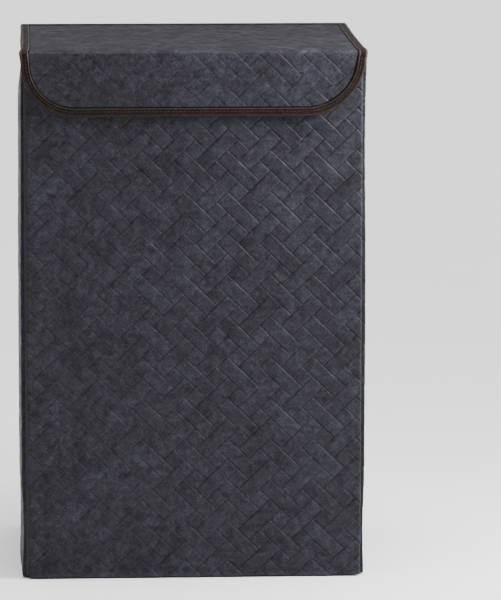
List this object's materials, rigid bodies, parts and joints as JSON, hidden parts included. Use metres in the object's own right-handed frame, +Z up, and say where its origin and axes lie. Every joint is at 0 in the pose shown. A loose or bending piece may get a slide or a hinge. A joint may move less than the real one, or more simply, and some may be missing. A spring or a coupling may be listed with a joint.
{
  "type": "laundry hamper with lid",
  "caption": "Tall rectangular laundry hamper of woven-look covered boards, with a hinged lid, a rounded front flap with bound edges, and side walls that fold inwards so it packs flat.",
  "frame": {"origin": "on the floor, in the middle of the base", "axes": "+X to the hamper's right as seen from the front, +Y to its back, +Z up"},
  "size_m": [0.416, 0.3142, 0.6313],
  "materials": {
    "woven_cover": "matte embossed imitation leather, blue-grey with an antiqued mottle, diagonal basket-weave pattern",
    "edge_binding": "dark brown imitation leather tape, satin, stitched",
    "lining": "dark grey non-woven cloth",
    "board": "dense grey-brown fibre board",
    "seam": "soft imitation leather hinge strip"
  },
  "bodies": {
    "back": {"back_cover": "woven_cover", "back_board": "board", "back_lining": "lining", "back_rim_binding": "edge_binding", "left_rear_corner_seam": "seam", "right_rear_corner_seam": "seam", "lid_hinge_seam": "seam"},
    "left_rear": {"left_rear_cover": "woven_cover", "left_rear_board": "board", "left_rear_lining": "lining", "left_rear_rim_binding": "edge_binding", "left_fold_seam": "seam"},
    "left_front": {"left_front_cover": "woven_cover", "left_front_board": "board", "left_front_lining": "lining", "left_front_rim_binding": "edge_binding", "left_front_corner_seam": "seam"},
    "front": {"front_cover": "woven_cover", "front_board": "board", "front_lining": "lining", "front_rim_binding": "edge_binding", "right_front_corner_seam": "seam"},
    "right_front": {"right_front_cover": "woven_cover", "right_front_board": "board", "right_front_lining": "lining", "right_front_rim_binding": "edge_binding", "right_fold_seam": "seam"},
    "right_rear": {"right_rear_cover": "woven_cover", "right_rear_board": "board", "right_rear_lining": "lining", "right_rear_rim_binding": "edge_binding"},
    "base": {"base_cover": "lining", "base_board": "board", "base_hinge_seam": "seam"},
    "lid": {"lid_cover": "woven_cover", "lid_board": "board", "lid_lining": "lining", "lid_left_binding": "edge_binding", "lid_right_binding": "edge_binding"},
    "flap": {"flap_cover": "woven_cover", "flap_board": "board", "flap_lining": "lining", "flap_binding": "edge_binding", "flap_fold_seam": "seam"}
  },
  "joints": [
    {"name": "wall_fold", "type": "hinge", "parent": "back", "child": "left_rear", "pos_m": [-0.1957, 0.1384, 0], "axis": [0, 0, 1], "range_deg": [0, 90]},
    {"name": "left_side_fold", "type": "hinge", "parent": "left_rear", "child": "left_front", "pos_m": [-0.2065, 0, 0], "axis": [0, 0, 1], "range_deg": [-180, 0]},
    {"name": "left_front_corner", "type": "hinge", "parent": "left_front", "child": "front", "pos_m": [-0.1957, -0.1384, 0], "axis": [0, 0, 1], "range_deg": [0, 90]},
    {"name": "right_front_corner", "type": "hinge", "parent": "front", "child": "right_front", "pos_m": [0.1957, -0.1384, 0], "axis": [0, 0, 1], "range_deg": [0, 90]},
    {"name": "right_side_fold", "type": "hinge", "parent": "right_front", "child": "right_rear", "pos_m": [0.2065, 0, 0], "axis": [0, 0, 1], "range_deg": [-180, 0]},
    {"name": "base_lift", "type": "hinge", "parent": "back", "child": "base", "pos_m": [0, 0.1426, 0.0012], "axis": [-1, 0, 0], "range_deg": [0, 90]},
    {"name": "lid_hinge", "type": "hinge", "parent": "back", "child": "lid", "pos_m": [0, 0.152, 0.6275], "axis": [-1, 0, 0], "range_deg": [0, 225]},
    {"name": "flap_fold", "type": "hinge", "parent": "lid", "child": "flap", "pos_m": [0, -0.1564, 0.6275], "axis": [-1, 0, 0], "range_deg": [0, 120]}
  ],
  "couplings": [
    {"joint": "left_side_fold", "follows": "wall_fold", "ratio": -2},
    {"joint": "left_front_corner", "follows": "wall_fold", "ratio": 1},
    {"joint": "right_front_corner", "follows": "wall_fold", "ratio": 1},
    {"joint": "right_side_fold", "follows": "wall_fold", "ratio": -2}
  ]
}
